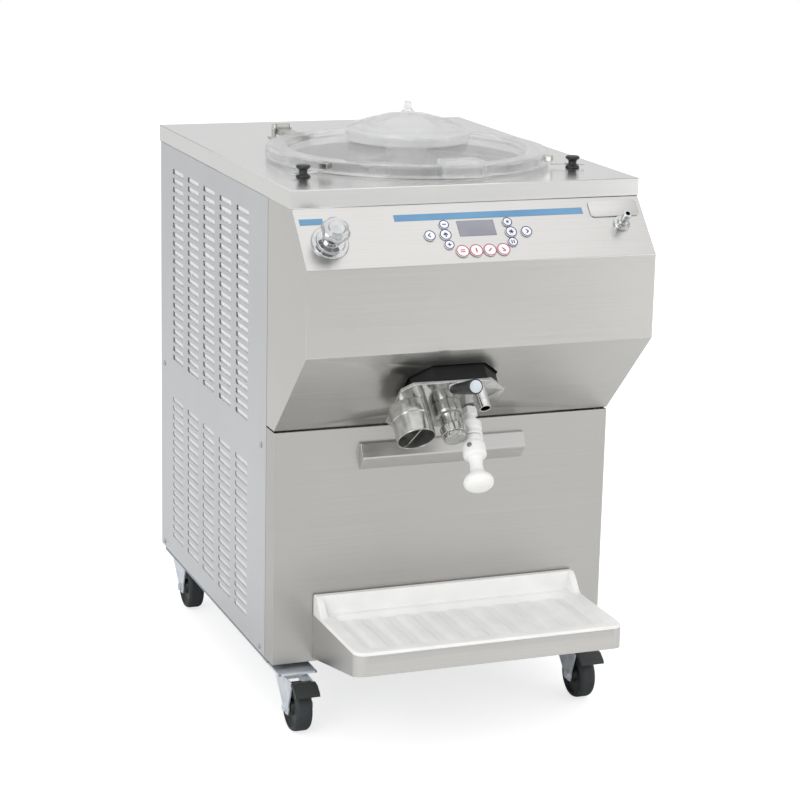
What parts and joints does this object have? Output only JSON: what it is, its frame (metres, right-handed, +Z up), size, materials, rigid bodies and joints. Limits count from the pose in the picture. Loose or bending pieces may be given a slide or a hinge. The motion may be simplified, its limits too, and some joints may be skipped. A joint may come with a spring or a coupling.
{
  "type": "vertical batch cooker and freezer",
  "caption": "Free-standing stainless machine with an open-top stirred tank, clear hinged lid, sloping key panel, draw-off tap, bucket shelf and swivel casters.",
  "frame": {"origin": "middle of the bounding box's base, on the floor", "axes": "+Z up, front faces -Y, +X to the right seen from the front"},
  "size_m": [0.651, 1.0211, 1.108],
  "materials": {
    "black_enamel": "satin black enamel",
    "black_plastic": "moulded",
    "black_rubber": "solid rubber",
    "blue_film": "printed film",
    "brushed_stainless": "fine brushed sheet",
    "clear_plastic": "clear moulded",
    "display_glass": "display window",
    "fin_aluminium": "bare fins",
    "galvanised_sheet": "galvanised",
    "insulation_board": "smooth white board",
    "key_film": "printed caps",
    "painted_casting": "satin paint over casting",
    "painted_frame": "satin paint",
    "polished_stainless": "polished",
    "satin_stainless": "satin sheet",
    "white_plastic": "moulded food-grade",
    "zinc_plate": "bright zinc"
  },
  "bodies": {
    "cabinet": {"base_frame": "painted_frame", "left_side_panel": "brushed_stainless", "right_side_panel": "brushed_stainless", "rear_panel": "brushed_stainless", "front_shell": "brushed_stainless", "lower_front_panel": "brushed_stainless", "bucket_rail": "polished_stainless", "top_deck": "satin_stainless", "tank_bowl": "polished_stainless", "tank_insulation": "insulation_board", "gear_motor": "painted_casting", "condenser": "fin_aluminium", "compressor": "black_enamel", "electrical_box": "galvanised_sheet", "fascia_trim": "blue_film", "display_window": "display_glass", "hose_spigot": "polished_stainless", "valve_flange": "polished_stainless", "tap_neck": "black_plastic", "tap_plate": "polished_stainless", "spout": "polished_stainless", "tap_cylinder": "polished_stainless", "tap_cap": "polished_stainless", "plunger_guide": "white_plastic", "bucket_shelf": "brushed_stainless", "panel_screws": "polished_stainless", "lid_hinge": "polished_stainless"},
    "stirrer": {"stirrer": "polished_stainless"},
    "fan": {"fan": "black_plastic"},
    "valve_knob": {"valve_knob": "polished_stainless"},
    "plunger": {"plunger": "white_plastic"},
    "tap_lever": {"tap_lever": "black_plastic"},
    "tray_insert": {"tray_insert": "white_plastic"},
    "lid": {"lid_ring": "clear_plastic", "lid_cone": "clear_plastic"},
    "port_cover": {"port_cover": "clear_plastic"},
    "left_clamp": {"left_clamp": "black_plastic"},
    "right_clamp": {"right_clamp": "black_plastic"},
    "key_1": {"key_1": "key_film"},
    "key_2": {"key_2": "key_film"},
    "key_3": {"key_3": "key_film"},
    "key_4": {"key_4": "key_film"},
    "key_5": {"key_5": "key_film"},
    "key_6": {"key_6": "key_film"},
    "key_7": {"key_7": "key_film"},
    "key_8": {"key_8": "key_film"},
    "key_9": {"key_9": "key_film"},
    "key_10": {"key_10": "key_film"},
    "key_11": {"key_11": "key_film"},
    "key_12": {"key_12": "key_film"},
    "front_left_fork": {"front_left_fork": "zinc_plate"},
    "front_left_wheel": {"front_left_wheel": "black_rubber"},
    "front_right_fork": {"front_right_fork": "zinc_plate"},
    "front_right_wheel": {"front_right_wheel": "black_rubber"},
    "rear_left_fork": {"rear_left_fork": "zinc_plate"},
    "rear_left_wheel": {"rear_left_wheel": "black_rubber"},
    "rear_right_fork": {"rear_right_fork": "zinc_plate"},
    "rear_right_wheel": {"rear_right_wheel": "black_rubber"},
    "left_brake_pedal": {"left_brake_pedal": "black_plastic"},
    "right_brake_pedal": {"right_brake_pedal": "black_plastic"}
  },
  "joints": [
    {"name": "stirrer_spin", "type": "hinge", "parent": "cabinet", "child": "stirrer", "pos_m": [0, -0.0376, 0.66], "axis": [0, 0, 1], "continuous": true},
    {"name": "fan_spin", "type": "hinge", "parent": "cabinet", "child": "fan", "pos_m": [-0.248, 0.1614, 0.32], "axis": [1, 0, 0], "continuous": true},
    {"name": "valve_turn", "type": "hinge", "parent": "cabinet", "child": "valve_knob", "pos_m": [-0.271, -0.39134, 0.9168], "axis": [0, -0.7314, 0.682], "range_deg": [0, 270]},
    {"name": "plunger_pull", "type": "slide", "parent": "cabinet", "child": "plunger", "axis": [-0.1392, -0.7002, -0.7002], "range_m": [0, 0.035]},
    {"name": "lever_turn", "type": "hinge", "parent": "cabinet", "child": "tap_lever", "pos_m": [-0.047, -0.40486, 0.65912], "axis": [0, -0.7071, -0.7071], "range_deg": [-75, 0]},
    {"name": "tray_lift", "type": "slide", "parent": "cabinet", "child": "tray_insert", "axis": [0, 0, 1], "range_m": [0, 0.12]},
    {"name": "lid_hinge", "type": "hinge", "parent": "cabinet", "child": "lid", "pos_m": [0, 0.2664, 1.02], "axis": [-1, 0, 0], "range_deg": [0, 82]},
    {"name": "port_cover_lift", "type": "slide", "parent": "lid", "child": "port_cover", "axis": [0, 0, 1], "range_m": [0, 0.12]},
    {"name": "left_clamp_turn", "type": "hinge", "parent": "cabinet", "child": "left_clamp", "pos_m": [-0.258, -0.2066, 1], "axis": [0, 0, -1], "range_deg": [0, 100]},
    {"name": "right_clamp_turn", "type": "hinge", "parent": "cabinet", "child": "right_clamp", "pos_m": [0.258, -0.2066, 1], "axis": [0, 0, 1], "range_deg": [0, 100]},
    {"name": "key_1_press", "type": "slide", "parent": "cabinet", "child": "key_1", "axis": [0, 0.7314, -0.682], "range_m": [0, 0.0008], "stiffness_N_per_m": 600, "springref_m": -0.0004},
    {"name": "key_2_press", "type": "slide", "parent": "cabinet", "child": "key_2", "axis": [0, 0.7314, -0.682], "range_m": [0, 0.0008], "stiffness_N_per_m": 600, "springref_m": -0.0004},
    {"name": "key_3_press", "type": "slide", "parent": "cabinet", "child": "key_3", "axis": [0, 0.7314, -0.682], "range_m": [0, 0.0008], "stiffness_N_per_m": 600, "springref_m": -0.0004},
    {"name": "key_4_press", "type": "slide", "parent": "cabinet", "child": "key_4", "axis": [0, 0.7314, -0.682], "range_m": [0, 0.0008], "stiffness_N_per_m": 600, "springref_m": -0.0004},
    {"name": "key_5_press", "type": "slide", "parent": "cabinet", "child": "key_5", "axis": [0, 0.7314, -0.682], "range_m": [0, 0.0008], "stiffness_N_per_m": 600, "springref_m": -0.0004},
    {"name": "key_6_press", "type": "slide", "parent": "cabinet", "child": "key_6", "axis": [0, 0.7314, -0.682], "range_m": [0, 0.0008], "stiffness_N_per_m": 600, "springref_m": -0.0004},
    {"name": "key_7_press", "type": "slide", "parent": "cabinet", "child": "key_7", "axis": [0, 0.7314, -0.682], "range_m": [0, 0.0008], "stiffness_N_per_m": 600, "springref_m": -0.0004},
    {"name": "key_8_press", "type": "slide", "parent": "cabinet", "child": "key_8", "axis": [0, 0.7314, -0.682], "range_m": [0, 0.0008], "stiffness_N_per_m": 600, "springref_m": -0.0004},
    {"name": "key_9_press", "type": "slide", "parent": "cabinet", "child": "key_9", "axis": [0, 0.7314, -0.682], "range_m": [0, 0.0008], "stiffness_N_per_m": 600, "springref_m": -0.0004},
    {"name": "key_10_press", "type": "slide", "parent": "cabinet", "child": "key_10", "axis": [0, 0.7314, -0.682], "range_m": [0, 0.0008], "stiffness_N_per_m": 600, "springref_m": -0.0004},
    {"name": "key_11_press", "type": "slide", "parent": "cabinet", "child": "key_11", "axis": [0, 0.7314, -0.682], "range_m": [0, 0.0008], "stiffness_N_per_m": 600, "springref_m": -0.0004},
    {"name": "key_12_press", "type": "slide", "parent": "cabinet", "child": "key_12", "axis": [0, 0.7314, -0.682], "range_m": [0, 0.0008], "stiffness_N_per_m": 600, "springref_m": -0.0004},
    {"name": "front_left_swivel", "type": "hinge", "parent": "cabinet", "child": "front_left_fork", "pos_m": [-0.2805, -0.2436, 0.1], "axis": [0, 0, 1], "continuous": true},
    {"name": "front_left_roll", "type": "hinge", "parent": "front_left_fork", "child": "front_left_wheel", "pos_m": [-0.2805, -0.2776, 0.045], "axis": [1, 0, 0], "continuous": true},
    {"name": "front_right_swivel", "type": "hinge", "parent": "cabinet", "child": "front_right_fork", "pos_m": [0.2805, -0.2436, 0.1], "axis": [0, 0, 1], "continuous": true},
    {"name": "front_right_roll", "type": "hinge", "parent": "front_right_fork", "child": "front_right_wheel", "pos_m": [0.2805, -0.2776, 0.045], "axis": [1, 0, 0], "continuous": true},
    {"name": "rear_left_swivel", "type": "hinge", "parent": "cabinet", "child": "rear_left_fork", "pos_m": [-0.2805, 0.4624, 0.1], "axis": [0, 0, 1], "continuous": true},
    {"name": "rear_left_roll", "type": "hinge", "parent": "rear_left_fork", "child": "rear_left_wheel", "pos_m": [-0.2805, 0.4284, 0.045], "axis": [1, 0, 0], "continuous": true},
    {"name": "rear_right_swivel", "type": "hinge", "parent": "cabinet", "child": "rear_right_fork", "pos_m": [0.2805, 0.4624, 0.1], "axis": [0, 0, 1], "continuous": true},
    {"name": "rear_right_roll", "type": "hinge", "parent": "rear_right_fork", "child": "rear_right_wheel", "pos_m": [0.2805, 0.4284, 0.045], "axis": [1, 0, 0], "continuous": true},
    {"name": "left_brake", "type": "hinge", "parent": "front_left_fork", "child": "left_brake_pedal", "pos_m": [-0.2805, -0.2996, 0.096], "axis": [1, 0, 0], "range_deg": [0, 14], "stiffness_Nm_per_rad": 2, "springref_deg": -11.46},
    {"name": "right_brake", "type": "hinge", "parent": "front_right_fork", "child": "right_brake_pedal", "pos_m": [0.2805, -0.2996, 0.096], "axis": [1, 0, 0], "range_deg": [0, 14], "stiffness_Nm_per_rad": 2, "springref_deg": -11.46}
  ]
}
